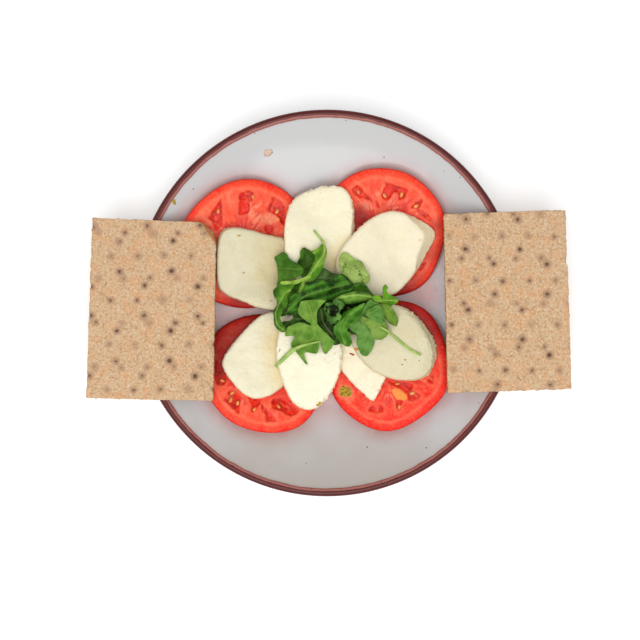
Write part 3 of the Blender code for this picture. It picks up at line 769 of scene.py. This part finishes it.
rocket = {"step": 0.55, "thickness": 0.3, "gap": 0.3, "bend": 9, "soft": 54, "top": 60, "veinGap": 4.2,
          "veinSlant": 0.8, "frill": 2.5, "grid": (-46, 66, -50, 56), "reach": 1.2, "window": 30,
          "margin": 3.2, "ripple": 7.5, "underLeaves": 8, "heart": (6, -3), "spread": 7,
          **shades(rib=(178, 208, 104), stem=(176, 200, 106), paleStem=(140, 176, 76), deepGreen=(20, 48, 4),
                   bruise=(58, 74, 22), hollow=(8, 20, 3))}
# the core's greens are dark as painted shade beneath the top leaves
rocket["core"] = {
    "edge": [(-15, 8), (-8, 14), (2, 16), (12, 13), (22, 9), (27, 2), (26, -8), (18, -16), (10, -19),
        (0, -18), (-10, -15), (-15, -8)],
    "rib": [(-12, -8), (5, 0), (26, 2)], "tone": (30, 62, 14), "deep": (10, 26, 4), "dome": 5.5,
    "crumple": 2.5}
rocket["leaves"] = {  # outlines and ribs as seen from above, in millimetres; each leaf has a lit tone and a darker tone for its painted shade
    "underLeft": {
        "edge": [(-31, -16), (-28.5, -12), (-23.5, -11.5), (-21.8, -9.5), (-23, -8), (-28.5, -7.5),
            (-28, -5), (-21, -3), (-17, -1), (-10, -2), (-8, -8), (-10, -14), (-16, -16), (-23, -17)],
        "rib": [(-28, -15.5), (-22, -11), (-12, -10)], "tone": (60, 108, 30), "deep": (22, 48, 10),
        "wave": 1.8},
    "fillLeft": {
        "edge": [(-26, 12), (-20, 13), (-13, 13), (-12, 6), (-14, 0), (-20, -3), (-26, -4), (-27, 3)],
        "rib": [(-25, -2), (-20, 5), (-15, 12)], "tone": (84, 136, 30), "deep": (40, 84, 10), "wave": 1},
    "farDark": {
        "edge": [(-19, 25.5), (-17.5, 28.5), (-17, 33), (-15, 35.5), (-13, 34.5), (-10, 33), (-6, 30.5),
            (-5, 25), (-7, 17), (-10, 12), (-15, 13), (-17, 19)],
        "rib": [(-19, 21), (-14, 23), (-6, 28)], "tone": (78, 126, 26), "deep": (36, 72, 10), "wave": 2,
        "fold": 0.15},
    "midFar": {
        "edge": [(-11, 12), (-9.5, 15), (-7, 19), (-4, 21.5), (-2, 22), (2.5, 19.5), (7.5, 17.5), (7, 13),
            (-1, 10)],
        "rib": [(-9, 15), (-2, 16), (6, 15)], "tone": (92, 126, 66), "deep": (56, 88, 36), "wave": 1.2},
    "paleRight": {
        "edge": [(9.4, 31.5), (12.6, 32.2), (15.8, 29.6), (19.6, 27.4), (22.8, 25.8), (24, 22.7),
            (25.9, 19.5), (27.5, 16.3), (26.6, 13.3), (24, 11.9), (21.5, 12.3), (17, 11.9), (13.9, 13.8),
            (9.4, 17.6), (8.5, 21.4), (7.5, 25.2), (7.9, 29)],
        "rib": [(8, 24), (14, 22.5), (22, 18)], "tone": (170, 196, 104), "deep": (138, 168, 78), "wave": 0.8,
        "curl": 0.8, "bruise": 1},
    "rightFlap": {
        "edge": [(8.8, 18.5), (12.6, 16.2), (15.5, 13.1), (17.7, 11.7), (21.5, 12.2), (24.7, 11.1),
            (26.7, 8.4), (29.2, 4.6), (28.1, 3.8), (25.3, 4.5), (22.1, 4), (17, 4), (13, 6), (11, 10),
            (9, 15)],
        "rib": [(10, 15), (17, 9), (28, 5)], "tone": (74, 132, 14), "deep": (30, 66, 4), "curl": 1.6,
        "pleat": 0.7, "pleatWidth": 7},
    "leftSpade": {
        "edge": [(-33.7, 29.3), (-30.8, 30.9), (-28.3, 32.8), (-25.4, 30.9), (-24.7, 28.7), (-22.3, 27.1),
            (-19.7, 25.5), (-16.9, 23.6), (-15, 20.8), (-15.6, 18.5), (-18.1, 16.3), (-22.9, 14.7),
            (-27.3, 13.8), (-31.1, 11.2), (-32.4, 11.9), (-31.6, 15), (-31.8, 21.4), (-32.4, 25.2)],
        "rib": [(-16, 21), (-24, 21.5), (-31, 22.5)], "tone": (88, 140, 38), "deep": (54, 102, 18),
        "wave": 1, "fold": 0.12, "curl": 0.6},
    "farFolded": {
        "edge": [(-2.5, 38.5), (-5.5, 35.5), (-9.6, 32.5), (-7.5, 30), (-8.5, 25.5), (-11.5, 19.5),
            (-16, 12.5), (-18.5, 7.5), (-17, 4.5), (-13.5, 8), (-9.5, 12.5), (-6, 17), (-2.5, 22),
            (-1.5, 26), (0, 31), (-0.5, 36)],
        "rib": [(-2, 38.5), (-2.3, 33.5), (-3.5, 28.5), (-9, 20), (-14.5, 11.5), (-18, 6)],
        "tone": (146, 190, 66), "deep": (74, 134, 16), "fold": 0.35, "ribTone": 0.7, "pleat": 0.6,
        "pleatWidth": 6},
    "longDark": {
        "edge": [(-14.3, 11.9), (-11.5, 13.1), (-8.3, 13.6), (-4.8, 14.7), (-2.9, 14.3), (-0.1, 12.7),
            (2.5, 13.1), (3.9, 14.7), (5.6, 16.2), (7.7, 17.9), (9.4, 16.9), (12, 15), (14.5, 11.9),
            (16.1, 8.7), (13.2, 6), (9.4, 3), (2.5, 1), (-3, 0.5), (-7, 0), (-11.5, -1), (-15.9, -2),
            (-18.5, -4.3), (-22.3, -5.9), (-26.1, -8.1), (-28.9, -9), (-29.6, -7.8), (-25.1, -4.6),
            (-24.7, -0.8), (-23.8, 3.8), (-21, 5.2), (-17.2, 6.2), (-14, 8.7)],
        "rib": [(-26, -6), (-14, 4), (0, 8.5), (14, 12)], "tone": (74, 134, 34), "deep": (18, 54, 6),
        "wave": 1, "fold": 0.1, "jag": 1.1, "pleat": 1.5, "pleatWidth": 5, "ribTone": 0.15},
    "twisted": {
        "edge": [(5.3, 2.7), (8.8, 4.6), (12.6, 5.9), (17, 7.1), (21.2, 7.2), (25.3, 6.2), (28.5, 4.1),
            (32, 2.6), (35, 1.6), (30, 1.2), (25.9, 1.4), (22.1, 0.4), (18.3, -0.6), (14.5, -1),
            (10.7, -0.6), (7.5, 0.8)],
        "rib": [(5, 2.5), (12, 3.8), (20, 4.6), (28, 3.4), (35, 1.8)], "tone": (118, 166, 60),
        "deep": (28, 72, 6), "fold": -0.5, "ribTone": 0.5, "pleat": 0.5, "pleatWidth": 9, "rough": 0.4},
    "leftRibbon": {
        "edge": [(-30.5, 12), (-32, 10), (-34, 8), (-34, 5.5), (-33, 3), (-32, 2), (-32, -1.5), (-34, -5),
            (-34, -9.5), (-33.5, -14), (-32, -16.5), (-29.5, -18.5), (-26.5, -18.5), (-26, -16),
            (-27, -14.5), (-29.2, -12), (-29.6, -9), (-28.5, -6), (-25.5, -1.5), (-24.5, 4.5), (-22.5, 8),
            (-20.5, 12.5), (-26, 12)],
        "rib": [(-21, 9), (-25.5, 6.5), (-29, 2), (-31.5, -3.5), (-32.5, -8), (-31.5, -14), (-28, -17)],
        "tone": (94, 148, 34), "deep": (40, 88, 8), "fold": 0.4, "wave": 0.8, "ribTone": 0.4},
    "brightFold": {
        "edge": [(-30, 12.5), (-27, 13.5), (-22.5, 13.7), (-17, 14.8), (-12, 16.8), (-10, 16.2), (-15, 13.5),
            (-20, 11.5), (-22.5, 11.8), (-27, 11.3)],
        "rib": [(-29, 12.3), (-22, 12.6), (-12, 16)], "tone": (172, 206, 86), "deep": (120, 168, 40),
        "fold": 0.6, "ribTone": 0.5},
    "rightBright": {
        "edge": [(35, 2.5), (35, 6), (35, 9.5), (36.5, 11.5), (37.5, 11), (38.6, 9.2), (37.4, 7.8),
            (38.3, 5.8), (40.5, 4.8), (43, 3.5), (45.2, 1.8), (44.8, 0.2), (41.5, -1.5), (40, -2.6),
            (37.4, -1), (33, -0.2), (29, 1), (28.5, 3), (31, 5), (33.5, 4)],
        "rib": [(29, 1.2), (36, 1.4), (45, 1.2)], "tone": (112, 170, 28), "deep": (74, 134, 8), "wave": 1,
        "fold": 0.2, "ribTone": 0.55},
    "rightTongue": {
        "edge": [(34.2, -0.8), (38, -1.1), (40.5, -3.3), (43.7, -7.1), (45.1, -10.9), (44.6, -14.4),
            (43.7, -15), (40.5, -13.5), (37.3, -10.9), (34.8, -7.8), (34.2, -4)],
        "rib": [(35, -2), (39.5, -7), (44, -14)], "tone": (124, 158, 56), "deep": (94, 130, 36), "curl": 0.8},
    "blueLobed": {
        "edge": [(23, -3), (25.9, 1.1), (27.8, 1.7), (29.4, 0.5), (32.8, -0.8), (34.8, -4.5), (35.6, -9),
            (37, -12), (38.6, -16.5), (38.3, -20.4), (34.2, -23.5), (30.4, -22.9), (28, -20.6), (27.5, -20),
            (29.8, -21.7), (30, -25.5), (28.5, -30), (26.5, -33.1), (24.3, -34.2), (21.5, -32.5),
            (19.6, -28), (18.6, -25.5), (19, -21.7), (17.7, -19.2), (15.8, -17.9), (13.9, -16.6),
            (14.5, -14.7), (17.7, -12.5), (20, -9)],
        "rib": [(36, -17), (30, -15), (24, -13)], "tone": (114, 158, 74), "deep": (84, 132, 50), "wave": 1.2,
        "curl": 0.8},
    "paleLobe": {
        "edge": [(21.5, -8.7), (25.9, -9.8), (30.4, -11.2), (34.5, -12.2), (35.7, -11.9), (37.6, -14.8),
            (38.6, -17.9), (37.6, -21), (34.2, -23.5), (30.4, -22.9), (27.9, -20.5), (27.2, -17.3),
            (24, -13.5), (21.2, -11.6)],
        "rib": [(37.5, -18), (30, -14.5), (22, -10)], "tone": (130, 162, 70), "deep": (108, 142, 52),
        "wave": 0.6, "curl": 0.6},
    "tealLobe": {
        "edge": [(24, -7.1), (25.3, -4.7), (28.5, -2.7), (32.8, -1.4), (34.2, -3.3), (34.5, -7.8),
            (34.9, -11.6), (34, -13.3), (30.4, -11.7), (25.9, -9.7)],
        "rib": [(25, -8), (29, -6), (34, -3)], "tone": (96, 146, 60), "deep": (64, 114, 36), "wave": 0.5,
        "curl": 0.5},
    "innerDark": {
        "edge": [(-6.2, -4), (-6.5, -8), (-6.2, -12.5), (-3.5, -16.5), (0, -19), (3, -22), (5, -21),
            (5, -16), (3, -10), (0, -6), (-2.5, -3)],
        "rib": [(3, -20), (-2, -13), (-4, -5)], "tone": (38, 74, 16), "deep": (14, 34, 6), "wave": 1},
    "midLeaf": {
        "edge": [(23.4, -0.5), (20.9, -1.1), (18.3, -2.7), (15.1, -3.9), (11.3, -5.6), (8.8, -8.1),
            (6.3, -12.9), (4.2, -15.7), (4.1, -18.2), (5.6, -21.1), (7.2, -23.9), (9.4, -26.2),
            (12.6, -27.8), (14.8, -27.1), (15.6, -25.2), (14.8, -22.4), (13.8, -19.2), (12.6, -17),
            (14.5, -14.6), (17.7, -12.5), (20.2, -8.7), (22.1, -5.2), (23.3, -2.4)],
        "rib": [(22.5, -2), (16, -6.5), (10, -11.5), (8.5, -17), (11.5, -26)], "tone": (92, 150, 46),
        "deep": (48, 104, 8), "wave": 1, "fold": 0.2, "pleat": 0.8, "pleatWidth": 6, "jag": 0.5},
    "curledRosette": {
        "edge": [(5.6, 2), (8.2, 0.8), (10.7, -1.4), (10.1, -3.3), (8.5, -5.9), (8.9, -8.1), (7.5, -10.6),
            (5.3, -13.2), (3.1, -13.8), (0.6, -11.6), (-0.7, -9), (-2, -5.9), (-2.9, -4.3), (-1.5, -1.9),
            (0.1, -0.2), (3.1, 0.6), (4.5, 1.9)],
        "rib": [(2, -13), (3.5, -5), (5, 1)], "tone": (100, 146, 62), "deep": (52, 92, 26),
        "hole": (3.4, -4.6, 3.4), "jag": 1.4, "wave": 1, "ribTone": 0},
    "topLobed": {
        "edge": [(-16.9, 0.1), (-14, 1.4), (-7.7, 1.7), (-0.7, 1.4), (-3.2, -1.4), (-5.8, -4.6),
            (-6.5, -7.8), (-6.4, -11.6), (-5.5, -14.4), (-3.2, -16.7), (-0.7, -19.2), (3.1, -23),
            (4.7, -24.6), (3.9, -27.1), (1.5, -30.3), (-0.7, -32.7), (-2.6, -31.2), (-3.6, -28.1),
            (-4.2, -24.6), (-5, -25.5), (-5.3, -29.7), (-6.7, -32.4), (-9.6, -32.4), (-12.7, -31.7),
            (-14.7, -32.8), (-13.9, -36.3), (-12.4, -39.8), (-14, -39), (-16.2, -36.3), (-18.8, -32.8),
            (-21, -30), (-22.9, -28.2), (-23.1, -26.2), (-21.9, -23.9), (-20.4, -22.5), (-22.3, -20.8),
            (-26.1, -21.4), (-26.7, -19.2), (-25.6, -16.5), (-23.8, -14.8), (-21, -13.6), (-17.5, -12.5),
            (-14, -13.2), (-9.9, -14.5), (-11.5, -12.5), (-15, -10.2), (-17.2, -8.1), (-18.5, -5.4),
            (-17.7, -2.7)],
        "rib": [(-22, -28.5), (-16, -26), (-9, -23), (-7.3, -17), (-8.5, -11), (-11, -2)],
        "tone": (126, 164, 66), "deep": (84, 132, 36), "wave": 1, "curl": 0.8, "ribTone": 0.22}}
rocket["stems"] = [  # places, and the thickness at each
    ([(-8.5, 47), (-5, 42.5), (-2, 38.5), (-1.5, 34), (-2.5, 29)], [0.6, 0.7, 0.8, 0.7, 0.4]),
    ([(-33, -40.8), (-27, -35), (-21.5, -30), (-16, -27.5), (-9, -25.5), (-4, -24.5)],
     [1.1, 1.3, 1.4, 1, 0.6, 0.25]),
    ([(60, -33.5), (51.5, -29), (44.5, -23), (38, -18), (33, -15)], [0.8, 0.9, 0.9, 0.7, 0.25])]


class Pile:  # the height of all that lies below, on a square grid of millimetres
    def __init__(self, pieces):
        west, east, south, north = rocket["grid"]
        self.x, self.y = np.meshgrid(np.arange(west, east + 1.0), np.arange(south, north + 1.0))
        self.corner = (west, south)
        self.top = np.full(self.x.shape, float(plate["floor"]))
        for surface in surfacesOf(pieces):
            for spot in np.ndindex(self.x.shape):
                hit = plumb(surface, self.x[spot], self.y[spot])[0]
                if hit:
                    self.top[spot] = max(self.top[spot], hit.z / mm)

    def under(self, ring, bend):  # the surface that a limp leaf takes over all below it
        grid = np.stack([self.x.ravel(), self.y.ravel()], axis=1)
        covered = (depthIn(grid, ring) > -rocket["reach"]).reshape(self.x.shape)
        field = np.where(covered, self.top, -50)
        steps = range(-rocket["window"], rocket["window"] + 1)
        for axis in (0, 1):
            field = np.max([np.roll(field, step, axis) - step * step / (2 * bend) for step in steps], axis=0)
        return field

    def read(self, field, spots):  # the height between the four grid places about each spot
        across, up = spots[:, 0] - self.corner[0], spots[:, 1] - self.corner[1]
        column, row = across.astype(int), up.astype(int)
        east, north = across - column, up - row
        low = field[row, column] * (1 - east) + field[row, column + 1] * east
        high = field[row + 1, column] * (1 - east) + field[row + 1, column + 1] * east
        return low * (1 - north) + high * north

    def cover(self, spots):  # raises the pile to what has just been laid on it
        across, up = spots[:, 0] - self.corner[0], spots[:, 1] - self.corner[1]
        for column in (np.floor(across), np.ceil(across)):
            for row in (np.floor(up), np.ceil(up)):
                np.maximum.at(self.top, (row.astype(int), column.astype(int)), spots[:, 2])


def leafLook():
    look = Look("rocketLeaf", {**glow(0.12, (0.5, 1, 0.2), 1), "Specular IOR Level": 0.14})
    tint = look.reading("tint", "Color")
    side, run, ribTone = look.reading("side"), look.reading("run"), look.reading("ribTone")
    drift = (look.clouds(6, 2, 1) - 0.5) * 2.4
    rib = abs(side + drift * 0.25)
    midrib = rib.band(0.8, 0.25)
    branch = ((run - rib * rocket["veinSlant"] + drift) / rocket["veinGap"]).fraction()
    veins = abs(branch - 0.5).band(0.08, 0.02) * rib.band(9, 2)
    net = look.cells(1.5, "DISTANCE_TO_EDGE").band(0.09, 0.02)
    colour = look.mix(tint, rocket["rib"], midrib * ribTone + veins * ribTone * 0.35)
    colour = look.mix(colour, look.mix(colour, rocket["rib"], 0.35), net * 0.12)
    deeper = look.mix(colour, rocket["deepGreen"], 0.6)
    bruise = abs(look.clouds(9, 3, 6) - 0.5).band(0.022, 0.006) * look.clouds(7, 1, 7).band(0.48, 0.56)
    colour = look.paint(colour, (deeper, look.clouds(5, 3, 4).band(0.5, 0.75) * 0.4),
                        (rocket["bruise"], bruise * look.reading("bruise") * 0.75))
    height = veins * -0.16 + midrib * -0.3 + net * -0.05
    height = height + look.clouds(1.2, 2, 3) * 0.12 + look.clouds(4, 3, 8) * 0.5
    look.feed(colour, look.clouds(2.5, 2, 5) * 0.2 + 0.3, height)
    return look


def softened(height):  # near the top of the heap the layers lie closer
    soft, room = rocket["soft"], rocket["top"] - rocket["soft"]
    return np.where(height > soft, soft + room - room * np.exp(np.minimum(soft - height, 0) / room), height)


def makeLeaf(name, leaf, pile, look, seed):
    ring = smoothLine(leaf["edge"], True, 5)
    jagged = np.array([noise.noise_vector(Vector((x / 2, y / 2, seed)))[:2] for x, y in ring])
    ring += leaf.get("jag", 0.25) * jagged
    low, high = ring.min(0) - 1, ring.max(0) + 1
    columns, rows = (int(size / rocket["step"]) for size in high - low)
    bm = bmesh.new()
    bmesh.ops.create_grid(bm, x_segments=columns, y_segments=rows, size=0.5)
    bmesh.ops.scale(bm, verts=bm.verts, vec=(*(high - low), 1))
    bmesh.ops.translate(bm, verts=bm.verts, vec=(*((low + high) / 2), 0))
    depth = depthIn(np.array([vert.co for vert in bm.verts]), ring)
    outside = [vert for vert, inset in zip(list(bm.verts), depth) if inset < -0.4 * rocket["step"]]
    bmesh.ops.delete(bm, geom=outside, context="VERTS")
    border = [vert for vert in bm.verts if vert.is_boundary or vert.is_wire]
    onEdge = fromLine(np.array([vert.co for vert in border]), ring, True)[3]
    for vert, spot in zip(border, onEdge):
        vert.co = (*spot, 0)
    inner = [vert for vert in bm.verts if not vert.is_boundary]
    for _ in range(3):
        bmesh.ops.smooth_vert(bm, verts=inner, factor=0.5, use_axis_x=True, use_axis_y=True)
    mesh = meshOf(bm, name)

    spots = corners(mesh) * mm  # the grid was made in millimetres
    inset = np.abs(depthIn(spots, ring))
    distance, side, run, _ = fromLine(spots, smoothLine(leaf["rib"], False))
    margin = np.exp(-(inset / rocket["margin"]) ** 2)
    ripple = 0.5 + 0.5 * np.sin(run * math.tau / rocket["ripple"] + side * 1.2 + seed)
    folds = side * distance * math.tau / leaf.get("pleatWidth", 6)
    pleat = 0.5 + 0.5 * np.cos(folds + np.sin(run / 6 + seed))
    rough = np.array([noise.fractal(Vector((x / 6, y / 6, seed * 3.1)), 1, 2, 3) for x, y, _ in spots])
    fold = leaf.get("fold", 0)
    height = pile.read(pile.under(ring, rocket["bend"]), spots) + rocket["gap"] + rocket["thickness"] / 2
    height += fold * np.minimum(distance, 7) + max(0, -fold) * 4 + leaf.get("curl", 0) * margin
    height += (leaf.get("wave", 0) * margin * ripple + leaf.get("pleat", 0) * pleat
               + np.maximum(rough + 0.3, 0) * leaf.get("rough", 1.1))
    height += leaf.get("dome", 0) * (1 - np.exp(-inset / 5))
    height += leaf.get("crumple", 0) * np.abs(rough) * 2 * (1 - np.exp(-inset / 4))
    # painted light and shade: lighter on raised bumps and pleat ridges, darker in the folds
    light = np.clip(0.5 + rough * 0.9 + (0.7 * (pleat - 0.5) if "pleat" in leaf else 0), 0, 1)
    tint = np.outer(light, shade(*leaf["tone"])) + np.outer(1 - light, shade(*leaf["deep"]))
    if "hole" in leaf:  # a frilled ring about a middle painted dark as shade in its hollow
        east, north, size = leaf["hole"]
        frill = np.hypot(spots[:, 0] - east, spots[:, 1] - north) - size
        frill += 3 * np.array([noise.noise(Vector((x / 1.9, y / 1.9, seed))) for x, y, _ in spots])
        outer = np.clip(frill / 0.9, 0, 1)
        height += rocket["frill"] * outer * np.exp(-np.clip(frill, 0, 9) / 4)
        tint = outer[:, None] * tint + (1 - outer[:, None]) * rocket["hollow"]
    pile.cover(np.column_stack([spots[:, :2], height + rocket["thickness"] / 2]))
    spots[:, 2] = softened(height)
    shift(mesh, spots)
    for label, values in (("side", side * distance), ("run", run),
                          ("ribTone", np.full(len(spots), leaf.get("ribTone", 0.16))),
                          ("bruise", np.full(len(spots), leaf.get("bruise", 0)))):
        carry(mesh, label, values)
    carryTint(mesh, tint)
    piece = addPiece(name, mesh, look, leaf.get("stands", ()))
    solid = piece.modifiers.new("Thickness", "SOLIDIFY")
    solid.thickness, solid.offset = rocket["thickness"] * mm, 0


def lobedEdge(start, direction, length, width):  # outline and rib of a plain lobed leaf
    shares = [(0, 0.12), (0.14, 0.16), (0.26, 0.5), (0.36, 0.72), (0.44, 0.45), (0.56, 0.8), (0.68, 1),
              (0.8, 0.7), (0.93, 0.62), (1, 0)]  # along the length and across the width
    turn = math.radians(direction)
    ahead, aside = np.array((math.cos(turn), math.sin(turn))), np.array((-math.sin(turn), math.cos(turn)))
    right = [start + ahead * length * along - aside * width / 2 * wide for along, wide in shares]
    left = [start + ahead * length * along + aside * width / 2 * wide for along, wide in shares[-2::-1]]
    return right + left, [start, start + ahead * length * 0.5 + aside * 0.6, start + ahead * length * 0.97]


def makeStems(pile):
    bm = bmesh.new()
    for points, thickness in rocket["stems"]:
        line = smoothLine(points, False, 6)
        bed = pile.read(pile.top, line)
        curve = bpy.data.curves.new("stem", "CURVE")
        curve.dimensions, curve.bevel_depth, curve.bevel_resolution, curve.use_fill_caps = "3D", mm, 3, True
        spline = curve.splines.new("POLY")
        spline.points.add(len(line) - 1)
        sizes = np.interp(np.linspace(0, len(points) - 1, len(line)), range(len(points)), thickness)
        for point, (x, y), height, size in zip(spline.points, line, bed, sizes):
            point.co, point.radius = (x * mm, y * mm, (softened(height) + size + 0.2) * mm, 1), size
        tube = bpy.data.objects.new("stem", curve)
        bm.from_mesh(bpy.data.meshes.new_from_object(tube))
        bpy.data.objects.remove(tube)
    look = Look("rocketStem", glow(0.2, (0.5, 1, 0.2), 1.5))
    colour = look.mix(rocket["stem"], rocket["paleStem"], look.clouds(6, 2, 1).band(0.4, 0.65))
    look.feed(colour, look.clouds(2, 2) * 0.2 + 0.3, look.clouds(0.8, 2, 2) * 0.08)
    addPiece("rocketStems", meshOf(bm, "rocketStems"), look)


def makeRocket():
    look = leafLook()
    pile = Pile(cheeses)
    makeLeaf("rocketCore", {**rocket["core"], "stands": ["rocket_heap"]}, pile, look, 1)
    random.seed(7)
    for number in range(rocket["underLeaves"]):
        direction = number * 360 / rocket["underLeaves"] + random.uniform(-10, 10)
        turn = math.radians(direction)
        start = np.array(rocket["heart"]) + rocket["spread"] * np.array((math.cos(turn), math.sin(turn)))
        direction += random.uniform(-25, 25)
        edge, rib = lobedEdge(start, direction, random.uniform(15, 19), random.uniform(10, 13))
        tone = random.uniform(0.75, 1.1)
        leaf = {"edge": edge, "rib": rib, "tone": [part * tone for part in (58, 104, 24)],
                "deep": (18, 44, 6), "wave": 1.2}
        makeLeaf(f"rocketUnder{number + 1}", leaf, pile, look, 20 + number)
    for number, (name, leaf) in enumerate(rocket["leaves"].items()):
        makeLeaf("rocket" + name[0].upper() + name[1:], leaf, pile, look, 40 + number)
    makeStems(pile)


makeRocket()
print("rocket made")


# crumbs and flakes that lie about: x, y, length, width, direction, colour

crumbTones = shades(shaded=(120, 80, 40))
crumbs = [(18.8, -29.8, 2.8, 1.9, 20, (248, 160, 24)), (16.4, -33.2, 4.2, 1.2, -18, (176, 84, 52)),
          (-4.6, -64.8, 3.4, 2.2, 40, (206, 176, 52)), (-6.2, -66, 1.8, 1.4, 0, (190, 150, 50)),
          (-99, 65.6, 4.2, 2.2, -65, (184, 158, 60)), (-56.8, 43.4, 2.4, 1, 10, (206, 160, 48)),
          (-53.8, 19.6, 1.4, 1, 30, (198, 170, 90)), (-36, 1.4, 1.6, 1.1, 0, (214, 170, 110)),
          (-30.4, -30.4, 2, 0.8, 75, (196, 170, 120)), (50, -36.5, 1.3, 0.9, 0, (170, 150, 60)),
          (48, -39.5, 1.1, 0.9, 0, (170, 150, 60)), (59, -37, 1.2, 0.8, 40, (180, 150, 80)),
          (-86, 60, 1.1, 1, 0, (140, 110, 90)), (-38.5, 98.3, 6, 4.8, 30, (226, 198, 180))]


def makeCrumbs(pieces):  # each lies on the highest of the pieces below it
    bm = bmesh.new()
    layer = bm.verts.layers.float_color.new("tint")
    surfaces = surfacesOf(pieces)
    for x, y, length, width, direction, colour in crumbs:
        hits = [plumb(surface, x, y) for surface in surfaces]
        spot, normal = max((hit[:2] for hit in hits if hit[0]), key=lambda hit: hit[0].z)
        made = bmesh.ops.create_icosphere(bm, subdivisions=3, radius=0.5)["verts"]
        for vert in made:
            vert.co *= 1 + 0.3 * noise.noise(vert.co * 5 + Vector((x, y, 0)))
            vert.co *= Vector((length, width, min(width * 0.5, 0.8))) * mm
            vert[layer] = shade(*colour)
        lean = Vector((0, 0, 1)).rotation_difference(normal).to_matrix()
        lean = lean @ Matrix.Rotation(math.radians(direction), 3, "Z")
        bmesh.ops.rotate(bm, verts=made, cent=(0, 0, 0), matrix=lean)
        bmesh.ops.translate(bm, verts=made, vec=spot)
    look = Look("crumb", {"Specular IOR Level": 0.3})
    tint = look.reading("tint", "Color")
    dark = look.mix(tint, crumbTones["shaded"], 0.5)
    colour = look.mix(tint, dark, look.clouds(0.8, 2).band(0.45, 0.65))
    look.feed(colour, look.clouds(1, 2, 3) * 0.2 + 0.5, look.clouds(0.4, 2, 2) * 0.1)
    addPiece("crumbs", meshOf(bm, "crumbs"), look)


makeCrumbs([*cheeses, stoneware])
print("crumbs made")
